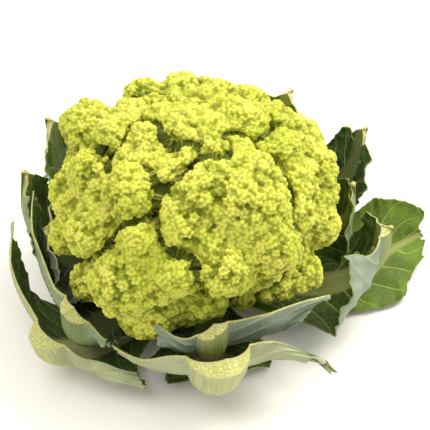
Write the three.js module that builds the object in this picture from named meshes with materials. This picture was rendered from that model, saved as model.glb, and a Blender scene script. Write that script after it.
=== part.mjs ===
// A lime-green cauliflower standing on its cut stalk, with trimmed leaves round the head.
// Millimetres, +Z up. The origin is the middle of the stalk's flat cut face, on the table.
// Bearings are in degrees, anticlockwise from +X seen from above; the front of the head is at -90.
import * as THREE from 'three';
import { ConvexHull } from 'three/addons/math/ConvexHull.js';

// Driving dimensions
const HEAD_HEIGHT = 80;
const STALK_RADIUS = 24;
const STALK_HEIGHT = 34;
const STALK_BEVEL = 2;
const STALK_SIDES = 32;
const GAP = 0.4;
const BLADE = 1.4;

// The curd's core, which closes the gaps between the florets, and the foot under it on the stalk
const CORE_RADIUS = 58;
const CORE_RISE = 47;
const CORE_DROP = 42;
const FOOT_RADIUS = 22;

// The bumps that cover the curd: about six triangles each, standing this far above the dips between them.
// Two are never closer than BUMP_APART, and none stands where a floret's side is steeper than STEEPEST.
const BUMP_SPACING = 8.2;
const BUMP_DEPTH = 2.6;
const BUMP_APART = 0.62 * BUMP_SPACING;
const BUMP_AREA = BUMP_SPACING ** 2 * Math.sqrt(3) / 2;
const STEEPEST = 0.12;
const TOUCH = 0.1;
const GOLDEN_ANGLE = 180 * (3 - Math.sqrt(5));
const UP = new THREE.Vector3(0, 0, 1);

const LIME = new THREE.Color('#b9c63c');
const STALK_GREEN = new THREE.Color('#cbd59a');
const LEAF_GREEN = new THREE.Color('#5d7f35');
const LEAF_GREY = new THREE.Color('#8a9c80');

// Each floret: bearing, lift above the level, distance of its middle from the head's middle, radius
const FLORETS = {
  crown: [
    [122, 34, 69, 12], [97, 36, 66, 13], [66, 54, 61, 12], [-137, 84, 56, 13],
    [154, 69, 58, 9], [14, 61, 58, 15], [-58, 68, 63, 9],
  ],
  left_top: [[151, 22, 76, 17], [178, 49, 67, 10], [147, 49, 61, 11]],
  hollow: [[180, 60, 48, 12], [-111, 56, 45, 13]],
  left: [
    [-175, 13, 68, 16], [-131, 42, 65, 16], [-142, 15, 71, 14], [-167, 35, 68, 12],
    [-163, -4, 75, 11],
  ],
  front: [
    [-121, -1, 67, 22], [-96, 13, 71, 12], [-113, -22, 68, 18], [-143, -14, 75, 12],
    [-84, -18, 61, 11], [-117, 23, 67, 11],
  ],
  centre: [
    [-51, 36, 62, 22], [-38, 49, 67, 10], [-73, 56, 63, 10], [-86, 47, 65, 10],
    [-93, 31, 63, 14], [-77, 15, 73, 14], [-50, 16, 72, 15],
  ],
  right: [
    [29, 38, 66, 12], [26, 19, 69, 16], [-6, 43, 69, 11], [11, 12, 72, 14],
    [-23, 29, 71, 12], [-12, -3, 73, 13], [-33, -12, 75, 12],
    [-36, 23, 73, 11], [-46, -14, 66, 13], [0, 7, 72, 12],
  ],
};

// Small florets in a spiral all round, which show between the named ones: how much of the head's height
// they take, of 2 in all, their reach at the side and at the top, and their smallest and largest radius
const FILLERS = 72;
const FILLER_SPAN = 1.5;
const FILLER_REACH = [63, 51];
const FILLER_RADIUS = [9.9, 13.2];

// Rows of florets that the front does not show: lift, first and last bearing, how many, distance, radius
const HIDDEN_ROWS = [
  [26, 60, 84, 2, 66, 15],
  [4, 42, 150, 5, 66, 20],
  [-20, 16, 176, 6, 62, 19],
];
const ROW_SWAY = 4;
const ROW_GROWTH = [0.95, 1.1];

// A leaf is given by three lines from its base to its cut or tip, each point being bearing, radius, height:
// the top of its midrib, and its left and right edges as seen from outside. rib and depth are the half
// width and thickness of the midrib at base, middle and end; trough hollows its upper face. fold says how
// late each side bends away from the midrib; wave is the depth, number and start of the edges' waves;
// sag is how far each side hangs down halfway between the midrib and the edge.
const LEAVES = {
  leaf_front_inner: {
    rib: [[-78, 24, 30], [-79, 48, 29], [-81, 67, 34], [-82, 77, 50], [-82, 79, 69]],
    left: [[-98, 24, 30], [-98, 48, 29], [-100, 66, 36], [-103, 77, 48], [-105, 79, 64]],
    right: [[-58, 24, 30], [-58, 50, 30], [-48, 78, 38], [-36, 88, 50], [-31, 93, 53]],
    ribHalf: [9, 9, 9], depth: [6.5, 6, 6], trough: 2, fold: [1.3, 5], wave: [3, 1.5, 0.2],
    sag: [9, 4],
  },
  leaf_right_inner: {
    rib: [[12, 24, 30], [12, 48, 29], [11, 72, 34], [9, 91, 52], [9, 92, 82]],
    left: [[-8, 24, 30], [-6, 48, 30], [-6, 76, 35], [-8, 91, 50], [6, 92, 78]],
    right: [[32, 24, 30], [32, 48, 30], [34, 74, 36], [28, 91, 56], [12, 93, 80]],
    ribHalf: [9, 8, 2], depth: [6.5, 5, 1.5], trough: 1, fold: [1.5, 1.5], wave: [2.5, 2, 0.1],
    sag: [4, 3],
  },
  leaf_back_inner: {
    rib: [[95, 24, 30], [95, 48, 29], [95, 70, 34], [95, 88, 50], [95, 92, 70]],
    left: [[75, 24, 30], [75, 48, 30], [72, 72, 37], [66, 90, 54], [64, 93, 70]],
    right: [[115, 24, 30], [115, 48, 30], [120, 72, 37], [125, 90, 52], [127, 93, 64]],
    ribHalf: [9, 9, 8], depth: [6.5, 6, 5], trough: 2, fold: [1.5, 1.5], wave: [3, 2, 0.5],
    sag: [6, 5],
  },
  leaf_left_inner: {
    rib: [[-178, 24, 30], [-178, 48, 29], [-177, 68, 33], [-176, 82, 46], [-177, 84, 64]],
    left: [[-198, 24, 30], [-198, 48, 29], [-202, 70, 35], [-203, 84, 48], [-196, 86, 64]],
    right: [[-158, 24, 30], [-158, 48, 29], [-152, 68, 33], [-150, 82, 42], [-160, 84, 58]],
    ribHalf: [9, 8, 4], depth: [6.5, 4, 2], trough: 1, fold: [1.5, 1.5], wave: [2, 3, 0.4],
    sag: [3, 4],
  },
  leaf_front_mid: {
    rib: [[-84, 24, 20], [-84, 52, 19.5], [-82, 77, 24], [-80, 87, 41], [-79, 89, 59]],
    left: [[-107, 24, 20], [-107, 52, 20], [-111, 72, 22], [-117, 83, 32], [-120, 84, 44]],
    right: [[-61, 24, 20], [-61, 52, 20], [-57, 80, 26], [-50, 100, 34], [-43, 112, 16]],
    ribHalf: [10, 14, 20], depth: [6.5, 7.5, 10], trough: 8, fold: [1.5, 4], wave: [3.5, 2, 0.3],
    sag: [4, 3],
  },
  leaf_left_front_inner: {
    rib: [[-150, 24, 20], [-146, 52, 19.5], [-140, 76, 26], [-135, 88, 46], [-134, 89, 66]],
    left: [[-173, 24, 20], [-171, 52, 20], [-175, 82, 32], [-183, 93, 54], [-189, 91, 80]],
    right: [[-128, 24, 20], [-128, 52, 20], [-126, 72, 27], [-124, 83, 38], [-123, 84, 46]],
    ribHalf: [10, 11, 10], depth: [6.5, 6.5, 6.5], trough: 3, fold: [1.3, 1.3], wave: [3, 1.5, 0.6],
    sag: [5, 4],
  },
  leaf_right_mid: {
    rib: [[-8, 24, 20], [-8, 55, 19.5], [-6, 88, 23], [-2, 106, 38], [0, 108, 62]],
    left: [[-30, 24, 20], [-29, 55, 19], [-30, 94, 18], [-28, 96, 42], [-17, 92, 68]],
    right: [[14, 24, 20], [12, 55, 20], [12, 88, 28], [10, 104, 44], [9, 107, 60]],
    ribHalf: [10, 10, 7], depth: [6.5, 7, 6], trough: 2, fold: [2, 1.5], wave: [4, 2.5, 0.2],
    sag: [6, 5],
  },
  leaf_back_right: {
    rib: [[62, 24, 20], [62, 55, 19.5], [60, 84, 30], [57, 97, 60], [55, 98, 95]],
    left: [[40, 24, 20], [42, 55, 20], [42, 88, 34], [38, 99, 58], [44, 97, 78]],
    right: [[84, 24, 20], [82, 55, 20], [84, 88, 34], [84, 98, 60], [74, 95, 89]],
    ribHalf: [10, 9, 5], depth: [6.5, 6, 5], trough: 2, fold: [1.5, 1.5], wave: [3.5, 2, 0.7],
    sag: [5, 5],
  },
  leaf_left_back: {
    rib: [[138, 24, 20], [140, 55, 19.5], [145, 84, 32], [148, 97, 62], [147, 99, 96]],
    left: [[116, 24, 20], [120, 55, 20], [122, 88, 35], [122, 98, 56], [134, 98, 76]],
    right: [[160, 24, 20], [160, 55, 20], [162, 84, 34], [162, 94, 58], [156, 96, 84]],
    ribHalf: [10, 9, 7], depth: [6.5, 6, 5], trough: 2, fold: [1.5, 1.5], wave: [3.5, 2, 0.9],
    sag: [5, 5],
  },
  leaf_left_front_outer: {
    rib: [[-140, 24, 9.5], [-140, 56, 9.5], [-141, 84, 14], [-142, 99, 26], [-142, 102, 42]],
    left: [[-162, 24, 9.5], [-160, 56, 9.5], [-168, 94, 19], [-176, 106, 42], [-182, 105, 66]],
    right: [[-118, 24, 9.5], [-120, 56, 9.5], [-114, 78, 11], [-108, 84, 14], [-112, 84, 24]],
    ribHalf: [10, 12, 12], depth: [6.5, 7, 8.5], trough: 3, fold: [1.2, 1.5], wave: [3.5, 2, 0.3],
    sag: [6, 2],
  },
  leaf_front_outer: {
    rib: [[-72, 24, 9.5], [-73, 46, 9.5], [-75, 60, 8], [-76, 68, 7]],
    left: [[-94, 24, 9.5], [-97, 46, 9.5], [-103, 68, 12], [-101, 79, 11]],
    right: [[-50, 24, 9.5], [-50, 46, 9.5], [-46, 68, 9], [-53, 77, 6]],
    ribHalf: [9, 7, 3], depth: [6.5, 4, 2], trough: 1, fold: [1.5, 1.5], wave: [2, 2, 0.5],
    sag: [1, 1],
  },
  leaf_right_outer: {
    rib: [[-8, 24, 9.5], [-4, 60, 9], [5, 96, 9], [12, 126, 12], [15, 150, 16]],
    left: [[-30, 24, 9.5], [-24, 60, 8], [-12, 96, 4], [-3, 128, 4], [11, 150, 11]],
    right: [[14, 24, 9.5], [16, 60, 10], [22, 98, 24], [22, 128, 40], [17, 152, 25]],
    ribHalf: [10, 7, 2], depth: [6.5, 4, 1], trough: 1, fold: [1.2, 1.3], wave: [4, 3, 0.1],
    sag: [1, 3],
  },
  leaf_right_back: {
    rib: [[50, 24, 9.5], [48, 60, 10], [40, 98, 20], [32, 114, 50], [30, 116, 86]],
    left: [[28, 24, 9.5], [30, 60, 11], [27, 98, 24], [20, 112, 50], [25, 113, 80]],
    right: [[72, 24, 9.5], [62, 60, 9.5], [54, 98, 24], [44, 112, 52], [36, 113, 82]],
    ribHalf: [10, 8, 4], depth: [6.5, 6, 3], trough: 2, fold: [1.5, 1.5], wave: [3, 2, 0.2],
    sag: [4, 3],
  },
  leaf_back_outer: {
    rib: [[108, 24, 9.5], [108, 60, 10], [108, 94, 16], [108, 110, 36], [108, 113, 58]],
    left: [[86, 24, 9.5], [90, 60, 10], [84, 96, 18], [76, 112, 40], [72, 114, 56]],
    right: [[130, 24, 9.5], [126, 60, 10], [130, 96, 18], [138, 110, 38], [142, 112, 50]],
    ribHalf: [10, 10, 10], depth: [6.5, 7, 7], trough: 3, fold: [1.5, 1.5], wave: [4, 2, 0.4],
    sag: [6, 6],
  },
  leaf_left_outer: {
    rib: [[162, 24, 9.5], [163, 60, 10], [165, 90, 18], [166, 102, 44], [163, 102, 76]],
    left: [[140, 24, 9.5], [145, 60, 10], [148, 94, 20], [150, 106, 44], [154, 105, 66]],
    right: [[184, 24, 9.5], [180, 60, 10], [177, 90, 18], [174, 102, 42], [170, 101, 66]],
    ribHalf: [10, 8, 4], depth: [6.5, 6, 3], trough: 2, fold: [1.5, 1.5], wave: [3, 2, 0.8],
    sag: [5, 5],
  },
};
const ROWS = 8;
const RIB_COLUMNS = [0.55, 1];
const BLADE_COLUMNS = [0.4, 0.75, 1];
const RIB_SHARE = 0.8;
const SIDE_SHIFT = 2;
const WAVE_LIFT = 0.5;
const SAG_REACH = 0.3;
const NUDGE = 0.02;

// A point from its bearing in degrees, radius and height
function polar(bearing, radius, height) {
  const angle = THREE.MathUtils.degToRad(bearing);
  return new THREE.Vector3(radius * Math.cos(angle), radius * Math.sin(angle), height);
}

// A repeatable random number from 0 to 1 for a pair of counters
function scatter(i, j) {
  const value = Math.sin(i * 12.9898 + j * 78.233) * 43758.5453;
  return value - Math.floor(value);
}

// Every floret as a ball: its middle, from the head's middle, and its radius
function floretList() {
  const florets = Object.values(FLORETS).flat();
  HIDDEN_ROWS.forEach(([lift, first, last, count, reach, radius], row) => {
    for (let i = 0; i < count; i++) {
      const sway = ROW_SWAY * (scatter(i, row + 1) - 0.5);
      const bearing = THREE.MathUtils.lerp(first, last, i / (count - 1)) + sway;
      const growth = THREE.MathUtils.lerp(...ROW_GROWTH, scatter(i, row + 7));
      florets.push([bearing, lift + sway, reach, radius * growth]);
    }
  });
  for (let i = 0; i < FILLERS; i++) {
    const lift = THREE.MathUtils.radToDeg(Math.asin(1 - FILLER_SPAN * (i + 0.5) / FILLERS));
    const reach = THREE.MathUtils.lerp(...FILLER_REACH, Math.abs(lift) / 90);
    florets.push([i * GOLDEN_ANGLE, lift, reach, THREE.MathUtils.lerp(...FILLER_RADIUS, scatter(i, 11))]);
  }
  return florets.map(([bearing, lift, reach, radius]) => {
    const rise = THREE.MathUtils.degToRad(lift);
    return { middle: polar(bearing, reach * Math.cos(rise), reach * Math.sin(rise)), radius };
  });
}

// Evenly spread unit directions on a spiral from the top of a ball to its bottom
function spiral(count) {
  return Array.from({ length: count }, (_, i) => {
    const height = 1 - (2 * i + 1) / count;
    return polar(i * GOLDEN_ANGLE, Math.sqrt(1 - height * height), height);
  });
}

// How many bumps cover a ball
function bumpCount(radius) {
  return Math.round(4 * Math.PI * radius * radius / BUMP_AREA);
}

// How far the core reaches from the head's middle along a ray; below, it ends in the foot on the stalk
function coreReach(ray) {
  const tall = ray.z > 0 ? CORE_RISE : CORE_DROP;
  const core = 1 / Math.hypot(ray.x / CORE_RADIUS, ray.y / CORE_RADIUS, ray.z / tall);
  const foot = HEAD_HEIGHT - STALK_HEIGHT - GAP;
  const overStalk = ray.z < 0 && Math.hypot(ray.x, ray.y) * foot < -ray.z * FOOT_RADIUS;
  return overStalk ? foot / -ray.z : core;
}

// How far the curd reaches along a ray: to the outermost floret, or the core between them
function curdReach(ray, florets) {
  let reach = coreReach(ray);
  for (const { middle, radius } of florets) {
    const along = ray.dot(middle);
    const inside = along * along - middle.lengthSq() + radius * radius;
    if (along > 0 && inside > 0) {
      reach = Math.max(reach, along + Math.sqrt(inside));
    }
  }
  return reach;
}

// The tops of the bumps: a spiral lattice round each floret, and round the core, wherever it is outermost
function bumpTops(florets) {
  const tops = [];
  const addTop = (top) => {
    const outermost = curdReach(top.clone().normalize(), florets) < top.length() + TOUCH;
    if (outermost && !tops.some((other) => other.distanceTo(top) < BUMP_APART)) {
      tops.push(top);
    }
  };
  florets.forEach(({ middle, radius }, i) => {
    const outward = middle.clone().normalize();
    const turn = new THREE.Quaternion().setFromUnitVectors(UP, outward);
    const spin = new THREE.Quaternion().setFromAxisAngle(outward, 2 * Math.PI * scatter(i, 3));
    for (const direction of spiral(bumpCount(radius))) {
      direction.applyQuaternion(turn).applyQuaternion(spin);
      const top = direction.clone().multiplyScalar(radius).add(middle);
      if (direction.dot(top.clone().normalize()) > STEEPEST) {
        addTop(top);
      }
    }
  });
  for (const ray of spiral(bumpCount(CORE_RADIUS))) {
    addTop(ray.clone().multiplyScalar(coreReach(ray)));
  }
  return tops;
}

// The curd: its surface joins the top of each bump to the dips round it. Seen from the head's middle, a
// dip lies in each triangle of neighbouring tops, and two triangles meet along the line between two dips.
function curdGeometry() {
  const florets = floretList();
  const tops = bumpTops(florets);
  const rays = tops.map((top) => top.clone().normalize());
  const hull = new ConvexHull().setFromPoints(rays);
  const dips = new Map();
  for (const face of hull.faces) {
    const ray = face.midpoint.clone().normalize();
    dips.set(face, ray.multiplyScalar(curdReach(ray, florets) - BUMP_DEPTH));
  }
  const numbers = [];
  const addTriangle = (...corners) => corners.forEach((corner) => {
    numbers.push(corner.x, corner.y, corner.z + HEAD_HEIGHT);
  });
  const turnsLeft = (a, b, c) => a.dot(b.clone().cross(c)) > 0;
  for (const face of hull.faces) {
    let edge = face.edge;
    do {
      const from = tops[rays.indexOf(edge.tail().point)];
      const to = tops[rays.indexOf(edge.head().point)];
      const dip = dips.get(face);
      const across = dips.get(edge.twin.face);
      if (turnsLeft(from, across, dip) && turnsLeft(to, dip, across)) {
        addTriangle(from, across, dip);
      } else {
        addTriangle(from, to, dip);
      }
      edge = edge.next;
    } while (edge !== face.edge);
  }
  const geometry = new THREE.BufferGeometry();
  geometry.setAttribute('position', new THREE.Float32BufferAttribute(numbers, 3));
  return geometry;
}

// The stalk: a short round stem with a flat cut face below and a slight bevel round it
function stalkGeometry() {
  const profile = [
    [0, 0], [STALK_RADIUS - STALK_BEVEL, 0], [STALK_RADIUS, STALK_BEVEL],
    [STALK_RADIUS, STALK_HEIGHT], [0, STALK_HEIGHT],
  ];
  const points = profile.map(([radius, height]) => new THREE.Vector2(radius, height));
  return new THREE.LatheGeometry(points, STALK_SIDES).rotateX(Math.PI / 2);
}

// A smooth line through points of bearing, radius and height
function line(points) {
  const places = points.map(([bearing, radius, height]) => new THREE.Vector3(bearing, radius, height));
  return new THREE.CatmullRomCurve3(places, false, 'catmullrom', 0.5);
}

// The value at s of a number given at base, middle and end
function between([base, middle, end], s) {
  return s < 0.5 ? THREE.MathUtils.lerp(base, middle, 2 * s) : THREE.MathUtils.lerp(middle, end, 2 * s - 1);
}

// A leaf's upper face: s runs from base to end, u from the left edge at -1 over the midrib to the right at 1
function leafSurface(leaf) {
  const rib = line(leaf.rib);
  const edges = [line(leaf.left), line(leaf.right)];
  const [depthOfWave, waves, phase] = leaf.wave;
  return (s, u) => {
    const side = u < 0 ? 0 : 1;
    const middle = rib.getPoint(s);
    const edge = edges[side].getPoint(s);
    const out = Math.abs(u);
    const bend = out ** leaf.fold[side];
    const turn = 2 * Math.PI * (waves * s + phase) + SIDE_SHIFT * side;
    const swing = depthOfWave * Math.sin(turn) * out * out * s;
    const sag = leaf.sag[side] * 4 * out * (1 - out) * s * s;
    return polar(
      THREE.MathUtils.lerp(middle.x, edge.x, out),
      THREE.MathUtils.lerp(middle.y, edge.y, bend) + swing + SAG_REACH * sag,
      THREE.MathUtils.lerp(middle.z, edge.z, bend) + WAVE_LIFT * swing * s - sag,
    );
  };
}

// Moves a point of a leaf's base level to the stalk's side, a gap away from it
function hugStalk(point) {
  const scale = (STALK_RADIUS + GAP) / Math.hypot(point.x, point.y);
  point.set(point.x * scale, point.y * scale, point.z);
}

// The places across a leaf at s: its midrib, a few points over the rib's width, and a few out to each edge.
// Each is u with the share of the rib's thickness left there.
function leafColumns(leaf, surface, s) {
  const columns = [[0, 1]];
  for (const side of [-1, 1]) {
    const halfWidth = surface(s, side).distanceTo(surface(s, 0));
    const ribHalf = Math.min(between(leaf.ribHalf, s) / halfWidth, RIB_SHARE);
    const places = RIB_COLUMNS.map((share) => [side * share * ribHalf, 1 - share * share]);
    BLADE_COLUMNS.forEach((share) => places.push([side * THREE.MathUtils.lerp(ribHalf, 1, share), 0]));
    places.forEach((place) => (side < 0 ? columns.unshift(place) : columns.push(place)));
  }
  return columns;
}

// A leaf: the upper face and an underside beneath it, thick along the midrib and thin to the edges
function leafGeometry(leaf) {
  const surface = leafSurface(leaf);
  const upper = [];
  const lower = [];
  for (let row = 0; row <= ROWS; row++) {
    const s = row / ROWS;
    for (const [u, thick] of leafColumns(leaf, surface, s)) {
      const along = surface(Math.min(s + NUDGE, 1), u).sub(surface(Math.max(s - NUDGE, 0), u));
      const across = surface(s, Math.min(u + NUDGE, 1)).sub(surface(s, Math.max(u - NUDGE, -1)));
      const normal = along.cross(across).normalize();
      const point = surface(s, u).addScaledVector(normal, -leaf.trough * s * thick);
      const under = point.clone().addScaledVector(normal, -BLADE - between(leaf.depth, s) * thick);
      if (row === 0) {
        hugStalk(point);
        hugStalk(under);
      }
      upper.push(point);
      lower.push(under);
    }
  }
  return slab(upper, lower, 2 * (RIB_COLUMNS.length + BLADE_COLUMNS.length) + 1);
}

// A closed slab between two grids of points, split into triangles alike on both faces
function slab(upper, lower, width) {
  const rows = upper.length / width;
  const under = upper.length;
  const index = [];
  const quad = (a, b, c, d) => index.push(a, b, c, a, c, d);
  for (let row = 0; row < rows - 1; row++) {
    for (let column = 0; column < width - 1; column++) {
      const a = row * width + column;
      quad(a, a + width, a + width + 1, a + 1);
      index.push(under + a, under + a + width + 1, under + a + width);
      index.push(under + a, under + a + 1, under + a + width + 1);
    }
    const left = row * width;
    const right = left + width - 1;
    quad(left, under + left, under + left + width, left + width);
    quad(right, right + width, under + right + width, under + right);
  }
  for (let column = 0; column < width - 1; column++) {
    const end = (rows - 1) * width + column;
    quad(column, column + 1, under + column + 1, under + column);
    quad(end, under + end, under + end + 1, end + 1);
  }
  const geometry = new THREE.BufferGeometry();
  const numbers = [...upper, ...lower].flatMap((point) => point.toArray());
  geometry.setAttribute('position', new THREE.Float32BufferAttribute(numbers, 3));
  geometry.setIndex(index);
  return geometry;
}

// A named mesh with its material
function piece(name, geometry, color, roughness) {
  geometry.computeVertexNormals();
  const material = new THREE.MeshStandardMaterial({ color, roughness, metalness: 0 });
  const mesh = new THREE.Mesh(geometry, material);
  mesh.name = name;
  return mesh;
}

const cauliflower = new THREE.Group();
cauliflower.name = 'cauliflower';
cauliflower.add(piece('curd', curdGeometry(), LIME, 0.7));
cauliflower.add(piece('stalk', stalkGeometry(), STALK_GREEN, 0.6));
Object.entries(LEAVES).forEach(([name, leaf], i) => {
  cauliflower.add(piece(name, leafGeometry(leaf), i % 2 ? LEAF_GREEN : LEAF_GREY, 0.5));
});

export default cauliflower;
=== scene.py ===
# %% [markdown]
# # A lime-green cauliflower in its trimmed leaves
#
# The real object is one vegetable: a curd that branches into florets, a short cut stalk that it stands on,
# and fifteen jacket leaves that a knife has trimmed short round it. The imported CAD model already has each
# of these at its true size and place. In this lesson we keep that frame fixed, and build finer pieces over
# it: a beaded curd, veined leaves with fresh cuts, and a fibrous stalk.
#
# We load the frame first, because everything else is placed by it. The dressed model has to end inside
# nearly the same box.

# %% Load the fixed frame
import math

import bmesh
import bpy
import numpy as np
from mathutils import Matrix, Vector
from mathutils.kdtree import KDTree


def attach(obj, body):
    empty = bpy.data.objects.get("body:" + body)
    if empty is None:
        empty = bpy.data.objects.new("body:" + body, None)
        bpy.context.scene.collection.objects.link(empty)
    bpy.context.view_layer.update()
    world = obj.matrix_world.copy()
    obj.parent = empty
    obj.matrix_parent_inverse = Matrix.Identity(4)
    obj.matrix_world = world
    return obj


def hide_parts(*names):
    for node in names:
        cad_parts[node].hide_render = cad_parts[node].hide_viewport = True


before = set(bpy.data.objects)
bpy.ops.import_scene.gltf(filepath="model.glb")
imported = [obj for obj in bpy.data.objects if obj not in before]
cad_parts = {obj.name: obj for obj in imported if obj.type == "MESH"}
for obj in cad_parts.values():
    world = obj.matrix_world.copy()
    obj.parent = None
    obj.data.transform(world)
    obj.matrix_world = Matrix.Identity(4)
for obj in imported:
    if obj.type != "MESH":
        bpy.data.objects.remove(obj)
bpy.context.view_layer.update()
print("nodes in the frame:", len(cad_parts))

# %% [markdown]
# ## The camera
#
# The photograph looks down on the head at about 45 degrees, from the side where the two nested cut leaves
# are. A camera in Blender is placed by its matrix: its own -Z axis looks forward and its Y axis is up. We
# could turn it by hand until the view fits. It is surer to work the place out: the middle of the head
# falls on a known pixel of the picture, so we aim at a point beside it, and back off by the distance that
# gives the head its width in the picture.

# %% Place the camera
MM = 0.001
FRAME_PIXELS = 430
LENS = 90
SENSOR = 36
DISTANCE = 0.62
ELEVATION = math.radians(45)
HEAD_MIDDLE = Vector((0, 0, 80 * MM))
HEAD_PIXEL = (193.5, 203.0)

forward = Vector((0, math.cos(ELEVATION), -math.sin(ELEVATION)))
right = Vector((1, 0, 0))
upward = right.cross(forward)
metres_per_pixel = DISTANCE * SENSOR / LENS / FRAME_PIXELS
aside = (HEAD_PIXEL[0] - FRAME_PIXELS / 2) * metres_per_pixel
above = (HEAD_PIXEL[1] - FRAME_PIXELS / 2) * metres_per_pixel
target = HEAD_MIDDLE - aside * right + above * upward

camera = bpy.data.objects.new("camera", bpy.data.cameras.new("camera"))
bpy.context.scene.collection.objects.link(camera)
camera.data.lens = LENS
camera.data.sensor_width = SENSOR
camera.data.clip_start = 0.01
turned = Matrix((right, upward, -forward)).transposed()
camera.matrix_world = Matrix.Translation(target - DISTANCE * forward) @ turned.to_4x4()
bpy.context.scene.camera = camera
print("camera at", [round(x, 3) for x in camera.location])

# %% [markdown]
# ## Floor and light
#
# The picture is a bright studio shot: a white table that runs into a white background, and broad soft
# light from above and behind on the right, so the shadow falls softly to the front left. A large area
# lamp gives such light, because the size of a lamp decides how soft its shadow is. A second one above on
# the left lifts the near side. The white surroundings are a plain world colour, which fills the shadows
# too. A sun lamp would be simpler, but its shadows are hard. The Standard view keeps the lime as vivid
# as it is in daylight.

# %% Light the table
FLOOR_HALF = 3.0
TABLE_WHITE = (0.88, 0.86, 0.82, 1)
TABLE_ROUGHNESS = 0.6
WORLD_WHITE = (1, 0.99, 0.97, 1)
WORLD_STRENGTH = 0.82
LAMP_WARMTH = (1, 0.96, 0.9)
KEY_SIZE = 0.7
KEY_POWER = 14
KEY_PLACE = Vector((0.6, 0.38, 1.0))
FILL_SIZE = 0.8
FILL_POWER = 7.5
FILL_PLACE = Vector((-0.4, -0.2, 1.2))

bpy.context.scene.view_settings.view_transform = "Standard"
world = bpy.data.worlds.new("studio")
world.use_nodes = True
world.node_tree.nodes["Background"].inputs["Color"].default_value = WORLD_WHITE
world.node_tree.nodes["Background"].inputs["Strength"].default_value = WORLD_STRENGTH
bpy.context.scene.world = world


def add_lamp(name, size, power, place):
    """A square area lamp that looks at the head."""
    lamp = bpy.data.objects.new(name, bpy.data.lights.new(name, "AREA"))
    lamp.data.size = size
    lamp.data.energy = power
    lamp.data.color = LAMP_WARMTH
    lamp.location = place
    lamp.rotation_euler = (HEAD_MIDDLE - place).to_track_quat("-Z", "Y").to_euler()
    bpy.context.scene.collection.objects.link(lamp)


add_lamp("key", KEY_SIZE, KEY_POWER, KEY_PLACE)
add_lamp("fill", FILL_SIZE, FILL_POWER, FILL_PLACE)

corners = [(-FLOOR_HALF, -FLOOR_HALF, 0), (FLOOR_HALF, -FLOOR_HALF, 0),
           (FLOOR_HALF, FLOOR_HALF, 0), (-FLOOR_HALF, FLOOR_HALF, 0)]
table_mesh = bpy.data.meshes.new("table")
table_mesh.from_pydata(corners, [], [(0, 1, 2, 3)])
table = bpy.data.objects.new("table", table_mesh)
bpy.context.scene.collection.objects.link(table)
white = bpy.data.materials.new("white_table")
white.use_nodes = True
white.node_tree.nodes["Principled BSDF"].inputs["Base Color"].default_value = TABLE_WHITE
white.node_tree.nodes["Principled BSDF"].inputs["Roughness"].default_value = TABLE_ROUGHNESS
table_mesh.materials.append(white)
print("lamps:", KEY_POWER, "and", FILL_POWER, "watts")

# %% [markdown]
# ## Helpers for meshes
#
# Every piece below is worked out as arrays of points with numpy and handed to Blender once, which is far
# quicker than adding vertices one by one. All the sums are in millimetres, as the CAD model is, and this
# one helper turns them into metres. It also stores numbers on the vertices, such as how deep in a crease
# a point lies. A material reads them back by name, which needs no unwrapping.

# %% Make a piece from points
def make_piece(name, points, faces, values, slot, replaced):
    """A smooth-shaded piece from points in mm, faces of one size, and named numbers on the points."""
    mesh = bpy.data.meshes.new(name)
    corners = faces.shape[1]
    mesh.vertices.add(len(points))
    mesh.vertices.foreach_set("co", (points * MM).astype(np.float32).ravel())
    mesh.loops.add(faces.size)
    mesh.loops.foreach_set("vertex_index", faces.astype(np.int32).ravel())
    mesh.polygons.add(len(faces))
    mesh.polygons.foreach_set("loop_start", np.arange(0, faces.size, corners, dtype=np.int32))
    mesh.update(calc_edges=True)
    mesh.validate()
    mesh.shade_smooth()
    for key_name, numbers in values.items():
        attribute = mesh.attributes.new(key_name, "FLOAT", "POINT")
        attribute.data.foreach_set("value", numbers.astype(np.float32))
    piece = bpy.data.objects.new(name, mesh)
    bpy.context.scene.collection.objects.link(piece)
    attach(piece, "root")
    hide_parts(replaced)
    print(name, "has", (corners - 2) * len(faces), "triangles")
    return piece


# %% [markdown]
# ## Helpers for materials
#
# A Blender material is a tree of nodes. Built by hand in the editor, each node is dragged in and wired.
# In code the same three steps repeat: make the node, set its sockets, link the rest. These small functions
# keep the recipes below readable: put() makes any node, and the others give the sums and blends that a
# plant's skin needs.

# %% Node helpers
def put(tree, kind, values=None, **settings):
    """Adds a node. values gives its inputs, each a number, a colour or another node's output."""
    made = tree.nodes.new(kind)
    for name, value in settings.items():
        setattr(made, name, value)
    for name, value in (values or {}).items():
        if isinstance(value, bpy.types.NodeSocket):
            tree.links.new(value, made.inputs[name])
        else:
            made.inputs[name].default_value = value
    return made


def sums(tree, operation, first, second=0.0):
    """One step of arithmetic on two numbers or outputs."""
    return put(tree, "ShaderNodeMath", {0: first, 1: second}, operation=operation).outputs[0]


def blend(tree, share, first, second):
    """A colour between two: all of the second where share is 1."""
    made = put(tree, "ShaderNodeMix", {"Factor": share}, data_type="RGBA")
    for socket, colour in ((made.inputs[6], first), (made.inputs[7], second)):
        if isinstance(colour, bpy.types.NodeSocket):
            tree.links.new(colour, socket)
        else:
            socket.default_value = (*colour, 1)
    return made.outputs[2]


def step(tree, value, low, high):
    """Rises smoothly from 0 to 1 as value goes from low to high, or falls if low is above high."""
    values = {"Value": value, "From Min": low, "From Max": high}
    made = put(tree, "ShaderNodeMapRange", values, interpolation_type="SMOOTHSTEP")
    return made.outputs[0]


def stored(tree, name):
    """A number that the mesh holds on its vertices."""
    return put(tree, "ShaderNodeAttribute", attribute_name=name).outputs["Fac"]


def noise(tree, size, detail=3.0):
    """Soft random cloud from 0 to 1 whose spots are about size metres wide."""
    place = put(tree, "ShaderNodeTexCoord").outputs["Object"]
    values = {"Vector": place, "Scale": 1 / size, "Detail": detail}
    return put(tree, "ShaderNodeTexNoise", values).outputs["Fac"]


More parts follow.
